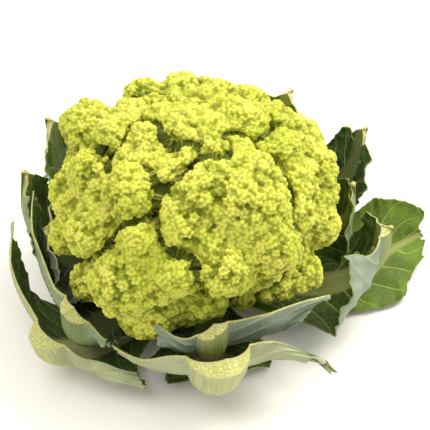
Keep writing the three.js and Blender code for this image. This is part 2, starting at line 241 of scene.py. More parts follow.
def start_material(name):
    """A new material, its tree and its main shader."""
    material = bpy.data.materials.new(name)
    material.use_nodes = True
    tree = material.node_tree
    return material, tree, tree.nodes["Principled BSDF"]


# %% [markdown]
# ## The curd: where its florets are
#
# A curd is a fractal: the head is a cluster of florets, each floret a cluster of lobes, each lobe a cluster
# of clumps, and each clump is covered with beads. A fractal can be grown in Blender with geometry nodes
# and instances, but instances are lost when the model is exported. So we place the florets ourselves,
# with the same list that the CAD model is made from: the bearing and lift of each in degrees, its reach
# from the head's middle and its radius. The ones that the photograph shows are named by group. Rows
# behind and below, and a spiral of small fillers, close the head.

# %% List the florets
HEAD_HEIGHT = 80
FLORETS = {
    "crown": [(122, 34, 69, 12), (97, 36, 66, 13), (66, 54, 61, 12), (-137, 84, 56, 13),
              (154, 69, 58, 9), (14, 61, 58, 15), (-58, 68, 63, 9)],
    "left_top": [(151, 22, 76, 17), (178, 49, 67, 10), (147, 49, 61, 11)],
    "hollow": [(180, 60, 48, 12), (-111, 56, 45, 13)],
    "left": [(-175, 13, 68, 16), (-131, 42, 65, 16), (-142, 15, 71, 14), (-167, 35, 68, 12),
             (-163, -4, 75, 11)],
    "front": [(-121, -1, 67, 22), (-96, 13, 71, 12), (-113, -22, 68, 18), (-143, -14, 75, 12),
              (-84, -18, 61, 11), (-117, 23, 67, 11)],
    "centre": [(-51, 36, 62, 22), (-38, 49, 67, 10), (-73, 56, 63, 10), (-86, 47, 65, 10),
               (-93, 31, 63, 14), (-77, 15, 73, 14), (-50, 16, 72, 15)],
    "right": [(29, 38, 66, 12), (26, 19, 69, 16), (-6, 43, 69, 11), (11, 12, 72, 14),
              (-23, 29, 71, 12), (-12, -3, 73, 13), (-33, -12, 75, 12),
              (-36, 23, 73, 11), (-46, -14, 66, 13), (0, 7, 72, 12)],
}
FILLERS = 72
FILLER_SPAN = 1.5
FILLER_REACH = (63, 51)
FILLER_RADIUS = (9.9, 13.2)
HIDDEN_ROWS = [(26, 60, 84, 2, 66, 15), (4, 42, 150, 5, 66, 20), (-20, 16, 176, 6, 62, 19)]
ROW_SWAY = 4
ROW_GROWTH = (0.95, 1.1)
GOLDEN_ANGLE = 180 * (3 - math.sqrt(5))
SCATTER_STEPS = (12.9898, 78.233)
SCATTER_SCALE = 43758.5453
SWAY_STREAM = 1
GROWTH_STREAM = 7
FILLER_STREAM = 11


def scatter(i, j):
    """A repeatable random number from 0 to 1 for a pair of counters."""
    value = math.sin(i * SCATTER_STEPS[0] + j * SCATTER_STEPS[1]) * SCATTER_SCALE
    return value - math.floor(value)


def lerp(first, last, share):
    """The value that lies at share of the way from first to last."""
    return first + (last - first) * share


def polar(bearing, radius, height):
    """Points from bearings in degrees, radii and heights."""
    angle = np.radians(bearing)
    return np.stack(np.broadcast_arrays(radius * np.cos(angle), radius * np.sin(angle), height), axis=-1)


def list_florets():
    """Every floret as a ball: its middle from the head's middle, and its radius."""
    florets = [floret for group in FLORETS.values() for floret in group]
    for row, (lift, first, last, count, reach, radius) in enumerate(HIDDEN_ROWS):
        for i in range(count):
            sway = ROW_SWAY * (scatter(i, row + SWAY_STREAM) - 0.5)
            growth = lerp(*ROW_GROWTH, scatter(i, row + GROWTH_STREAM))
            florets.append((lerp(first, last, i / (count - 1)) + sway, lift + sway, reach, radius * growth))
    for i in range(FILLERS):
        lift = math.degrees(math.asin(1 - FILLER_SPAN * (i + 0.5) / FILLERS))
        reach = lerp(*FILLER_REACH, abs(lift) / 90)
        florets.append((i * GOLDEN_ANGLE, lift, reach, lerp(*FILLER_RADIUS, scatter(i, FILLER_STREAM))))
    bearing, lift, reach, radius = np.array(florets, float).T
    rise = np.radians(lift)
    return polar(bearing, reach * np.cos(rise), reach * np.sin(rise)), radius


middles, radii = list_florets()
print("florets:", len(radii), "with radii from", round(radii.min(), 1), "to", round(radii.max(), 1), "mm")

# %% [markdown]
# ## The curd: one skin round all the florets
#
# Balls that merely cross each other would leave hidden faces inside the head. A Boolean union of a hundred
# balls is slow and fragile. The Remesh modifier in Voxel mode is the right tool: it wraps one even skin
# round everything, inside and creases included. We put the balls, the core that closes the gaps and the
# foot on the stalk into one mesh, let Remesh wrap it, and read the skin back as arrays.

# %% Wrap the florets in one skin
CORE_RADIUS = 58
CORE_RISE = 47
CORE_DROP = 42
FOOT_RADIUS = 22
FOOT_DROP = 45.6
FOOT_SIDES = 48
BALL_SUBDIVISIONS = 4
SKIN_EDGE = 0.72


def unit_ball():
    """Points and triangles of a ball of radius 1."""
    shape = bmesh.new()
    bmesh.ops.create_icosphere(shape, subdivisions=BALL_SUBDIVISIONS, radius=1)
    points = np.array([vertex.co for vertex in shape.verts])
    triangles = np.array([[vertex.index for vertex in face.verts] for face in shape.faces])
    shape.free()
    return points, triangles


def foot():
    """Points and faces of the short round foot that joins the core to the stalk."""
    shape = bmesh.new()
    placed = Matrix.Translation((0, 0, -FOOT_DROP / 2))
    bmesh.ops.create_cone(shape, cap_ends=True, segments=FOOT_SIDES, radius1=FOOT_RADIUS,
                          radius2=FOOT_RADIUS, depth=FOOT_DROP, matrix=placed)
    bmesh.ops.triangulate(shape, faces=shape.faces)
    points = np.array([vertex.co for vertex in shape.verts])
    triangles = np.array([[vertex.index for vertex in face.verts] for face in shape.faces])
    shape.free()
    return points, triangles


def wrap(parts):
    """One even skin round several closed meshes, as points and four-sided faces."""
    counts = np.cumsum([0] + [len(points) for points, _ in parts])
    points = np.concatenate([points for points, _ in parts])
    triangles = np.concatenate([triangles + first for (_, triangles), first in zip(parts, counts)])
    mesh = bpy.data.meshes.new("florets")
    mesh.from_pydata(points.tolist(), [], triangles.tolist())
    rough = bpy.data.objects.new("florets", mesh)
    bpy.context.scene.collection.objects.link(rough)
    remesh = rough.modifiers.new("skin", "REMESH")
    remesh.mode = "VOXEL"
    remesh.voxel_size = SKIN_EDGE
    skin = rough.evaluated_get(bpy.context.evaluated_depsgraph_get()).to_mesh()
    numbers = np.zeros(3 * len(skin.vertices), np.float32)
    skin.vertices.foreach_get("co", numbers)
    indices = np.zeros(len(skin.loops), np.int32)
    skin.loops.foreach_get("vertex_index", indices)
    bpy.data.objects.remove(rough)
    return numbers.reshape(-1, 3).astype(float), indices.reshape(-1, 4)


ball_points, ball_triangles = unit_ball()
core_drop = np.where(ball_points[:, 2] > 0, CORE_RISE, CORE_DROP)
core_points = ball_points * np.stack([np.full_like(core_drop, CORE_RADIUS)] * 2 + [core_drop], axis=1)
balls = [(ball_points * radius + middle, ball_triangles) for middle, radius in zip(middles, radii)]
skin_points, skin_faces = wrap(balls + [(core_points, ball_triangles), foot()])
print("skin:", len(skin_points), "points,", len(skin_faces), "faces")

# %% [markdown]
# ## The curd: florets that grow together
#
# In the real head the florets of one branch are pressed together, so only shallow folds show between
# them, while the branches stand apart with deep dark clefts. A hard union can't tell the two apart. So we
# give each floret a branch, and work out a soft union within each branch: a sum of falling exponentials
# of the distances to its balls, the way that metaballs melt together. The skin is then moved onto that
# soft surface in a few steps. The clefts between branches stay sharp, and are sunk a little deeper.

# %% Melt the florets of a branch together
HIDDEN_BRANCHES = [(105, 30), (70, 4), (120, 0), (30, -20), (100, -28), (165, -25), (-135, -45), (-45, -45)]
SOFTNESS = 3.3
MELT_STEPS = 4
CLEFT_DEPTH = 2.2
CLEFT_WIDTH = 1.0
BARE_GAP = 0.8
BARE_REACH = 1.0
CHUNK = 20000
TINY = 1e-30


def bearing_and_lift(points):
    """The directions of points from the head's middle, in degrees."""
    level = np.hypot(points[:, 0], points[:, 1])
    return np.degrees(np.arctan2(points[:, 1], points[:, 0])), np.degrees(np.arctan2(points[:, 2], level))


def branches_of_florets():
    """The number of the branch that each floret grows from: its named group, or the nearest branch."""
    named = [number for number, group in enumerate(FLORETS.values()) for _ in group]
    hearts = [middles[[i for i, branch in enumerate(named) if branch == number]].mean(axis=0)
              for number in range(len(FLORETS))]
    bearings, lifts = np.radians(np.array(HIDDEN_BRANCHES, float)).T
    level = np.cos(lifts)
    hidden = np.stack([level * np.cos(bearings), level * np.sin(bearings), np.sin(lifts)], axis=1)
    hearts = np.concatenate([hearts / np.linalg.norm(hearts, axis=1, keepdims=True), hidden])
    directions = middles / np.linalg.norm(middles, axis=1, keepdims=True)
    branch = (directions @ hearts.T).argmax(axis=1)
    branch[:len(named)] = named
    return branch, len(hearts)


def core_gap(points):
    """How far points stand off the core, roughly, in mm."""
    rise = np.where(points[:, 2] > 0, CORE_RISE, CORE_DROP)
    share = np.sqrt((points[:, 0] ** 2 + points[:, 1] ** 2) / CORE_RADIUS ** 2 + (points[:, 2] / rise) ** 2)
    return (share - 1) * rise


def soft_union(points):
    """For each point its gap to its branch's soft surface and to the next branch's, and the way out."""
    away = points[:, None, :] - middles[None, :, :]
    distance = np.linalg.norm(away, axis=2)
    pull = np.exp(-(distance - radii) / SOFTNESS)
    branch_pull = pull @ member
    soft_gaps = -SOFTNESS * np.log(branch_pull + TINY)
    nearest_two = np.argpartition(soft_gaps, 1, axis=1)[:, :2]
    rows = np.arange(len(points))
    first = nearest_two[:, 0]
    weights = pull * member[:, first].T
    outward = np.einsum("pf,pfk->pk", weights / distance, away)
    outward /= np.linalg.norm(outward, axis=1, keepdims=True)
    return soft_gaps[rows, first], soft_gaps[rows, nearest_two[:, 1]], outward


branch_of_floret, branch_count = branches_of_florets()
member = np.zeros((len(radii), branch_count))
member[np.arange(len(radii)), branch_of_floret] = 1
base = skin_points.copy()
outward = np.zeros_like(base)
cleft = np.zeros(len(base))
for first in range(0, len(base), CHUNK):
    part = slice(first, first + CHUNK)
    near_core = core_gap(base[part]) < BARE_GAP
    for _ in range(MELT_STEPS):
        gap, next_gap, way_out = soft_union(base[part])
        bare = near_core & (gap > BARE_REACH)
        base[part] -= np.where(bare, 0, np.clip(gap, -SOFTNESS, SOFTNESS))[:, None] * way_out
    radial = base[part] / np.linalg.norm(base[part], axis=1, keepdims=True)
    outward[part] = np.where(bare[:, None], radial, way_out)
    cleft[part] = np.where(bare, 1, np.exp(-np.maximum(next_gap - gap, 0) / CLEFT_WIDTH))
print("branches:", branch_count, "  points in clefts:", int((cleft > 0.5).sum()))

# %% [markdown]
# ## The curd: lobes, clumps and beads
#
# On that surface grow three sizes of dome: lobes some 13 mm apart, clumps the size of a pea, and beads of
# two millimetres. For each size we pick seeds at random from the points of the skin, none nearer to
# another than a set distance, which gives the close but uneven packing of a real curd. Each point then
# looks up its nearest bead in a KD tree, each bead its clump, and each clump its lobe, and the domes add
# up. A bead so stands on its clump as a whole, with a crease round it, which a noise or Voronoi texture
# would not give. The depths in the creases are kept for the painted shade there.

# %% Grow the beads
LOBE = dict(apart=13.0, spread=11.0, height=0.36, unevenness=0.4)
CLUMP = dict(apart=6.2, spread=4.8, height=0.84, unevenness=0.25)
BEAD = dict(apart=1.8, spread=1.4, height=0.72, unevenness=0.1)
SINK = 0.3
STEEPEST = 0.95
CURD_SWELL = 1.9
FOOT_BELOW = 1
FOOT_BESIDE = 2
draws = np.random.default_rng(7)


def tree_of(points):
    """A KD tree that finds the nearest of many points."""
    tree = KDTree(len(points))
    for number, point in enumerate(points):
        tree.insert(point, number)
    tree.balance()
    return tree


def pick_seeds(points, tree, apart):
    """Numbers of points taken in random order, none nearer than apart to one taken before."""
    free = np.ones(len(points), bool)
    picked = []
    for number in draws.permutation(len(points)):
        if free[number]:
            picked.append(number)
            free[[found[1] for found in tree.find_range(points[number], apart)]] = False
    return np.array(picked)


def nearest(points, tree):
    """The number of the nearest seed to each point, and how far away it is."""
    found = [tree.find(point)[1:] for point in points]
    numbers, distances = zip(*found)
    return np.array(numbers), np.array(distances)


def dome(distance, size):
    """How far a dome's surface lies below its top, at a distance from its seed."""
    share = np.minimum(distance / size["spread"], STEEPEST)
    return size["height"] * size["spread"] * (1 - np.sqrt(1 - share ** 2))


def depth_under(points, seeds, seed_depths, size):
    """The depth of points under the outermost surface: their nearest seed's depth and its dome."""
    number, distance = nearest(points, tree_of(seeds))
    own = dome(distance, size)
    lower = draws.uniform(0, size["unevenness"], len(seeds)) * size["spread"] * SINK
    return (seed_depths + lower)[number] + own, own


base_tree = tree_of(base)
lobe_seeds = base[pick_seeds(base, base_tree, LOBE["apart"])]
clump_seeds = base[pick_seeds(base, base_tree, CLUMP["apart"])]
bead_seeds = base[pick_seeds(base, base_tree, BEAD["apart"])]
under_lobe, _ = depth_under(clump_seeds, lobe_seeds, np.zeros(len(lobe_seeds)), LOBE)
under_clump, _ = depth_under(bead_seeds, clump_seeds, under_lobe, CLUMP)
depth, bead_depth = depth_under(base, bead_seeds, under_clump, BEAD)
clump_depth = depth - bead_depth
from_axis = np.hypot(base[:, 0], base[:, 1])
on_foot = (base[:, 2] < -CORE_DROP - FOOT_BELOW) & (from_axis < FOOT_RADIUS + FOOT_BESIDE)
move = np.where(on_foot, 0, CURD_SWELL - depth - CLEFT_DEPTH * cleft)
curd_points = base + move[:, None] * outward
curd_points[:, 2] += HEAD_HEIGHT
print("lobes:", len(lobe_seeds), "  clumps:", len(clump_seeds), "  beads:", len(bead_seeds))

# %% [markdown]
# ## The curd's colour and painted shade
#
# A lime curd isn't one green. The tops of its beads are a pale yellow-lime. The creases round beads and
# between clumps are painted a darker, deeper green, and far down between florets a dark olive: that is
# painted shade, standing in for the light that can't reach so deep. Here and there a bead has a faint
# brown speck. It is also slightly translucent, so light bleeds through the beads. We mix the colours and
# the painted shade by the depths that the mesh holds, let large soft noise vary the tone, and give the
# shader a little subsurface scattering. Ambient occlusion would give a like shade, but not in the exported
# model.

# %% Curd material
LIME_LOW = (0.55, 0.575, 0.07)
LIME_HIGH = (0.655, 0.64, 0.11)
LIME_GREENER = (0.49, 0.53, 0.05)
# Painted shade: these crease and cleft colours are darker than the lime tops and stand in for shade deep in
# the curd.
BEAD_CREASE_SHADE = (0.36, 0.40, 0.022)
CLUMP_CREASE_SHADE = (0.20, 0.235, 0.008)
CLEFT_SHADE_OLIVE = (0.075, 0.10, 0.006)
SPECK_BROWN = (0.42, 0.22, 0.06)
SPECK_SHARE = 0.35
TONE_BAND = (0.35, 0.65)
GREENER_BAND = (0.45, 0.7)
# Depth bands over which the painted shade darkens the bead creases, clump creases and clefts.
BEAD_SHADE_BAND = (0.1, 0.75)
CLUMP_SHADE_BAND = (2.2, 5.5)
CLEFT_SHADE_BAND = (0.35, 1.0)
SPECK_BAND = (0.72, 0.78)


def curd_material():
    """Lime beads, greener creases and olive depths painted darker as shade, and a few specks."""
    material, tree, shader = start_material("lime_curd")
    tone = blend(tree, step(tree, noise(tree, 0.022), *TONE_BAND), LIME_LOW, LIME_HIGH)
    greener = blend(tree, step(tree, noise(tree, 0.05, 2), *GREENER_BAND), tone, LIME_GREENER)
    # Painted shade: creases round beads and between clumps, and clefts between florets, are darkened by
    # their depth.
    beads = blend(tree, step(tree, stored(tree, "bead_depth"), *BEAD_SHADE_BAND), greener, BEAD_CREASE_SHADE)
    clumps = blend(tree, step(tree, stored(tree, "clump_depth"), *CLUMP_SHADE_BAND), beads, CLUMP_CREASE_SHADE)
    florets = blend(tree, step(tree, stored(tree, "cleft"), *CLEFT_SHADE_BAND), clumps, CLEFT_SHADE_OLIVE)
    speck_share = sums(tree, "MULTIPLY", step(tree, noise(tree, 0.0035, 2), *SPECK_BAND), SPECK_SHARE)
    specks = blend(tree, speck_share, florets, SPECK_BROWN)
    tree.links.new(specks, shader.inputs["Base Color"])
    shader.inputs["Roughness"].default_value = 0.62
    shader.inputs["Specular IOR Level"].default_value = 0.25
    shader.inputs["Subsurface Weight"].default_value = 0.25
    shader.inputs["Subsurface Radius"].default_value = (1.0, 0.9, 0.25)
    shader.inputs["Subsurface Scale"].default_value = 0.0022
    grain = put(tree, "ShaderNodeBump", {"Height": noise(tree, 0.0009), "Strength": 0.5, "Distance": 0.0004})
    tree.links.new(grain.outputs[0], shader.inputs["Normal"])
    print("curd material has", len(tree.nodes), "nodes")
    return material


# %% [markdown]
# ## The curd's pieces
#
# The skin is one surface of a good quarter of a million faces. It is easier to edit, and lighter to
# export, as a few pieces. They could be cut apart with a Boolean, but that would change the faces along
# the cuts. Here each face simply goes to the crown, the underside or one of four sides by where it lies,
# so the pieces meet without a gap.

# %% Split the curd into pieces
CROWN_LIFT = 52
UNDER_LIFT = -14
SIDES = {"front": -90, "right": 0, "back": 90, "left": 180}

side_names = list(SIDES)
bearings, lifts = bearing_and_lift(base)
turns = np.stack([np.abs((bearings - bearing + 180) % 360 - 180) for bearing in SIDES.values()])
region_of_point = turns.argmin(axis=0)
region_of_point[lifts > CROWN_LIFT] = len(side_names)
region_of_point[lifts < UNDER_LIFT] = len(side_names) + 1
region_names = side_names + ["crown", "underside"]
region_of_face = region_of_point[skin_faces[:, 0]]

lime = curd_material()
for region, region_name in enumerate(region_names):
    faces = skin_faces[region_of_face == region]
    kept, renumbered = np.unique(faces, return_inverse=True)
    # The crease depths and clefts go to the material, which paints shade by them.
    values = {
        "bead_depth": bead_depth[kept],
        "clump_depth": clump_depth[kept],
        "cleft": cleft[kept],
    }
    piece = make_piece("curd_" + region_name, curd_points[kept], renumbered.reshape(faces.shape), values,
                       "curd", "curd")
    piece.data.materials.append(lime)

# %% [markdown]
# ## The leaves: their lines
#
# A jacket leaf of a cauliflower is a thick midrib with a blade on both sides, and here a knife has cut
# most of them off short. A leaf can be modelled by pushing and pulling a subdivided plane. With fifteen of
# them nested round a head, it is surer to draw three lines for each, as a pattern cutter would: the top of
# the midrib and the two edges, from the stalk to the cut or the tip. They are the lines of the CAD model,
# with each point given as bearing, radius and height, so that the fine leaves lie where the plain ones do.
#
# With them go the midrib's half width and depth at base, middle and end, and how deep the trough along it
# is. The fold says how late the blade turns toward its edge, the wave how it swings, and the sag how far it
# hangs between midrib and edge.

# %% Give the lines of the leaves
LEAVES = {
    "leaf_front_inner": {
        "rib": [(-78, 24, 30), (-79, 48, 29), (-81, 67, 34), (-82, 77, 50), (-82, 79, 69)],
        "left": [(-98, 24, 30), (-98, 48, 29), (-100, 66, 36), (-103, 77, 48), (-105, 79, 64)],
        "right": [(-58, 24, 30), (-58, 50, 30), (-48, 78, 38), (-36, 88, 50), (-31, 93, 53)],
        "rib_half": (9, 9, 9), "depth": (6.5, 6, 6), "trough": 2, "fold": (1.3, 5),
        "wave": (3, 1.5, 0.2), "sag": (9, 4),
    },
    "leaf_right_inner": {
        "rib": [(12, 24, 30), (12, 48, 29), (11, 72, 34), (9, 91, 52), (9, 92, 82)],
        "left": [(-8, 24, 30), (-6, 48, 30), (-6, 76, 35), (-8, 91, 50), (6, 92, 78)],
        "right": [(32, 24, 30), (32, 48, 30), (34, 74, 36), (28, 91, 56), (12, 93, 80)],
        "rib_half": (9, 8, 2), "depth": (6.5, 5, 1.5), "trough": 1, "fold": (1.5, 1.5),
        "wave": (2.5, 2, 0.1), "sag": (4, 3),
    },
    "leaf_back_inner": {
        "rib": [(95, 24, 30), (95, 48, 29), (95, 70, 34), (95, 88, 50), (95, 92, 70)],
        "left": [(75, 24, 30), (75, 48, 30), (72, 72, 37), (66, 90, 54), (64, 93, 70)],
        "right": [(115, 24, 30), (115, 48, 30), (120, 72, 37), (125, 90, 52), (127, 93, 64)],
        "rib_half": (9, 9, 8), "depth": (6.5, 6, 5), "trough": 2, "fold": (1.5, 1.5),
        "wave": (3, 2, 0.5), "sag": (6, 5),
    },
    "leaf_left_inner": {
        "rib": [(-178, 24, 30), (-178, 48, 29), (-177, 68, 33), (-176, 82, 46), (-177, 84, 64)],
        "left": [(-198, 24, 30), (-198, 48, 29), (-202, 70, 35), (-203, 84, 48), (-196, 86, 64)],
        "right": [(-158, 24, 30), (-158, 48, 29), (-152, 68, 33), (-150, 82, 42), (-160, 84, 58)],
        "rib_half": (9, 8, 4), "depth": (6.5, 4, 2), "trough": 1, "fold": (1.5, 1.5),
        "wave": (2, 3, 0.4), "sag": (3, 4),
    },
    "leaf_front_mid": {
        "rib": [(-84, 24, 20), (-84, 52, 19.5), (-82, 77, 24), (-80, 87, 41), (-79, 89, 59)],
        "left": [(-107, 24, 20), (-107, 52, 20), (-111, 72, 22), (-117, 83, 32), (-120, 84, 44)],
        "right": [(-61, 24, 20), (-61, 52, 20), (-57, 80, 26), (-50, 100, 34), (-43, 112, 16)],
        "rib_half": (10, 14, 20), "depth": (6.5, 7.5, 10), "trough": 8, "fold": (1.5, 4),
        "wave": (3.5, 2, 0.3), "sag": (4, 3),
    },
    "leaf_left_front_inner": {
        "rib": [(-150, 24, 20), (-146, 52, 19.5), (-140, 76, 26), (-135, 88, 46), (-134, 89, 66)],
        "left": [(-173, 24, 20), (-171, 52, 20), (-175, 82, 32), (-183, 93, 54), (-189, 91, 80)],
        "right": [(-128, 24, 20), (-128, 52, 20), (-126, 72, 27), (-124, 83, 38), (-123, 84, 46)],
        "rib_half": (10, 11, 10), "depth": (6.5, 6.5, 6.5), "trough": 3, "fold": (1.3, 1.3),
        "wave": (3, 1.5, 0.6), "sag": (5, 4),
    },
    "leaf_right_mid": {
        "rib": [(-8, 24, 20), (-8, 55, 19.5), (-6, 88, 23), (-2, 106, 38), (0, 108, 62)],
        "left": [(-30, 24, 20), (-29, 55, 19), (-30, 94, 18), (-28, 96, 42), (-17, 92, 68)],
        "right": [(14, 24, 20), (12, 55, 20), (12, 88, 28), (10, 104, 44), (9, 107, 60)],
        "rib_half": (10, 10, 7), "depth": (6.5, 7, 6), "trough": 2, "fold": (2, 1.5),
        "wave": (4, 2.5, 0.2), "sag": (6, 5),
    },
    "leaf_back_right": {
        "rib": [(62, 24, 20), (62, 55, 19.5), (60, 84, 30), (57, 97, 60), (55, 98, 95)],
        "left": [(40, 24, 20), (42, 55, 20), (42, 88, 34), (38, 99, 58), (44, 97, 78)],
        "right": [(84, 24, 20), (82, 55, 20), (84, 88, 34), (84, 98, 60), (74, 95, 89)],
        "rib_half": (10, 9, 5), "depth": (6.5, 6, 5), "trough": 2, "fold": (1.5, 1.5),
        "wave": (3.5, 2, 0.7), "sag": (5, 5),
    },
    "leaf_left_back": {
        "rib": [(138, 24, 20), (140, 55, 19.5), (145, 84, 32), (148, 97, 62), (147, 99, 96)],
        "left": [(116, 24, 20), (120, 55, 20), (122, 88, 35), (122, 98, 56), (134, 98, 76)],
        "right": [(160, 24, 20), (160, 55, 20), (162, 84, 34), (162, 94, 58), (156, 96, 84)],
        "rib_half": (10, 9, 7), "depth": (6.5, 6, 5), "trough": 2, "fold": (1.5, 1.5),
        "wave": (3.5, 2, 0.9), "sag": (5, 5),
    },
    "leaf_left_front_outer": {
        "rib": [(-140, 24, 9.5), (-140, 56, 9.5), (-141, 84, 14), (-142, 99, 26), (-142, 102, 42)],
        "left": [(-162, 24, 9.5), (-160, 56, 9.5), (-168, 94, 19), (-176, 106, 42), (-182, 105, 66)],
        "right": [(-118, 24, 9.5), (-120, 56, 9.5), (-114, 78, 11), (-108, 84, 14), (-112, 84, 24)],
        "rib_half": (10, 12, 12), "depth": (6.5, 7, 8.5), "trough": 3, "fold": (1.2, 1.5),
        "wave": (3.5, 2, 0.3), "sag": (6, 2),
    },
    "leaf_front_outer": {
        "rib": [(-72, 24, 9.5), (-73, 46, 9.5), (-75, 60, 8), (-76, 68, 7)],
        "left": [(-94, 24, 9.5), (-97, 46, 9.5), (-103, 68, 12), (-101, 79, 11)],
        "right": [(-50, 24, 9.5), (-50, 46, 9.5), (-46, 68, 9), (-53, 77, 6)],
        "rib_half": (9, 7, 3), "depth": (6.5, 4, 2), "trough": 1, "fold": (1.5, 1.5),
        "wave": (2, 2, 0.5), "sag": (1, 1),
    },
    "leaf_right_outer": {
        "rib": [(-8, 24, 9.5), (-4, 60, 9), (5, 96, 9), (12, 126, 12), (15, 150, 16)],
        "left": [(-30, 24, 9.5), (-24, 60, 8), (-12, 96, 4), (-3, 128, 4), (11, 150, 11)],
        "right": [(14, 24, 9.5), (16, 60, 10), (22, 98, 24), (22, 128, 40), (17, 152, 25)],
        "rib_half": (10, 7, 2), "depth": (6.5, 4, 1), "trough": 1, "fold": (1.2, 1.3),
        "wave": (4, 3, 0.1), "sag": (1, 3),
    },
    "leaf_right_back": {
        "rib": [(50, 24, 9.5), (48, 60, 10), (40, 98, 20), (32, 114, 50), (30, 116, 86)],
        "left": [(28, 24, 9.5), (30, 60, 11), (27, 98, 24), (20, 112, 50), (25, 113, 80)],
        "right": [(72, 24, 9.5), (62, 60, 9.5), (54, 98, 24), (44, 112, 52), (36, 113, 82)],
        "rib_half": (10, 8, 4), "depth": (6.5, 6, 3), "trough": 2, "fold": (1.5, 1.5),
        "wave": (3, 2, 0.2), "sag": (4, 3),
    },
    "leaf_back_outer": {
        "rib": [(108, 24, 9.5), (108, 60, 10), (108, 94, 16), (108, 110, 36), (108, 113, 58)],
        "left": [(86, 24, 9.5), (90, 60, 10), (84, 96, 18), (76, 112, 40), (72, 114, 56)],
        "right": [(130, 24, 9.5), (126, 60, 10), (130, 96, 18), (138, 110, 38), (142, 112, 50)],
        "rib_half": (10, 10, 10), "depth": (6.5, 7, 7), "trough": 3, "fold": (1.5, 1.5),
        "wave": (4, 2, 0.4), "sag": (6, 6),
    },
    "leaf_left_outer": {
        "rib": [(162, 24, 9.5), (163, 60, 10), (165, 90, 18), (166, 102, 44), (163, 102, 76)],
        "left": [(140, 24, 9.5), (145, 60, 10), (148, 94, 20), (150, 106, 44), (154, 105, 66)],
        "right": [(184, 24, 9.5), (180, 60, 10), (177, 90, 18), (174, 102, 42), (170, 101, 66)],
        "rib_half": (10, 8, 4), "depth": (6.5, 6, 3), "trough": 2, "fold": (1.5, 1.5),
        "wave": (3, 2, 0.8), "sag": (5, 5),
    },
}
print("leaves:", len(LEAVES))

# %% [markdown]
# ## The leaves: the sheet between the lines
#
# Between its lines a leaf is a sheet: we walk along it by a share s and across it by a share u, from the
# left edge at -1 over the midrib at 0 to the right edge at 1. It swings in waves that grow toward the end,
# and sags between the midrib and its edges. Cloth simulation would droop such a leaf nicely, but a leaf of
# a fresh head is stiff, and its place must not change.

# %% The sheet of a leaf
SIDE_SHIFT = 2
WAVE_LIFT = 0.5
SAG_REACH = 0.3


def along_line(points, s):
    """Points of a smooth line through points given as bearing, radius and height."""
    points = np.array(points, float)
    ends = np.concatenate([[2 * points[0] - points[1]], points, [2 * points[-1] - points[-2]]])
    place = s * (len(points) - 1)
    first = np.minimum(place.astype(int), len(points) - 2)
    t = (place - first)[..., None]
    before, start, end, after = (ends[first + k] for k in range(4))
    pull_start, pull_end = (end - before) / 2, (after - start) / 2
    bend = 3 * end - 3 * start - 2 * pull_start - pull_end
    twist = 2 * start - 2 * end + pull_start + pull_end
    return start + t * pull_start + t ** 2 * bend + t ** 3 * twist


def between(values, s):
    """The value at s of a number given at base, middle and end."""
    return np.interp(s, (0, 0.5, 1), values)


def sheet(leaf, s, u):
    """Points of a leaf's upper face."""
    middle = along_line(leaf["rib"], s)
    edge = np.where((u < 0)[..., None], along_line(leaf["left"], s), along_line(leaf["right"], s))
    out = np.abs(u)
    side = (u >= 0).astype(int)
    bend = out ** np.array(leaf["fold"])[side]
    depth, waves, start = leaf["wave"]
    swing = depth * np.sin(2 * math.pi * (waves * s + start) + SIDE_SHIFT * side) * out ** 2 * s
    sag = np.array(leaf["sag"])[side] * 4 * out * (1 - out) * s * s
    bearing = lerp(middle[..., 0], edge[..., 0], out)
    radius = lerp(middle[..., 1], edge[..., 1], bend) + swing + SAG_REACH * sag
    height = lerp(middle[..., 2], edge[..., 2], bend) + WAVE_LIFT * swing * s - sag
    return polar(bearing, radius, height)


rib_tips = np.concatenate([sheet(leaf, np.ones(1), np.zeros(1)) for leaf in LEAVES.values()])
print("midribs end", round(rib_tips[:, 2].min()), "to", round(rib_tips[:, 2].max()), "mm above the table")

# %% [markdown]
# ## The leaves: where the points lie
#
# A grid of equal steps would waste points on the blade and miss the round of the midrib. So the places
# across the leaf are set closer over the midrib, and spread out from there to both edges. The same s and
# u say where the side veins run, and the blade's relief and its colours both use that.

# %% Places across a leaf
RIB_STEPS = 9
BLADE_STEPS = 24
RIB_SHARE = 0.8
VEINS = 6.5
VEIN_SLANT = 0.34
VEIN_OFFSET = 0.5


def vein_share(s, u):
    """How near a place is to a side vein: 1 on it and 0 midway to the next."""
    turn = s * VEINS - np.abs(u) * VEINS * VEIN_SLANT + VEIN_OFFSET * (u > 0)
    return np.abs(2 * (turn - np.floor(turn)) - 1)


def across_leaf(leaf, s):
    """The places across a leaf at each s, close together over its midrib, and the rib's half width."""
    zero = np.zeros_like(s)
    middle = sheet(leaf, s, zero)
    columns = []
    rib_ends = []
    for side in (-1, 1):
        half_width = np.linalg.norm(sheet(leaf, s, zero + side) - middle, axis=-1)
        rib_end = np.minimum(between(leaf["rib_half"], s) / half_width, RIB_SHARE)
        over_rib = np.linspace(0, 1, RIB_STEPS + 1)[1:]
        over_blade = np.linspace(0, 1, BLADE_STEPS + 1)[1:]
        rib_part = side * rib_end[:, None] * over_rib
        blade_part = side * (rib_end[:, None] + (1 - rib_end[:, None]) * over_blade)
        part = np.concatenate([rib_part, blade_part], axis=1)
        columns.append(part[:, ::-1] if side < 0 else part)
        rib_ends.append(rib_end)
    u = np.concatenate([columns[0], zero[:, None], columns[1]], axis=1)
    rib_end = np.where(u < 0, rib_ends[0][:, None], rib_ends[1][:, None])
    return u, rib_end


def grid_normals(points):
    """Unit normals of a grid of points, rows first."""
    along = np.gradient(points, axis=0)
    across = np.gradient(points, axis=1)
    normals = np.cross(along, across)
    return normals / np.linalg.norm(normals, axis=-1, keepdims=True)


places, _ = across_leaf(LEAVES["leaf_front_mid"], np.linspace(0, 1, 2))
print("places across a leaf:", places.shape[1])

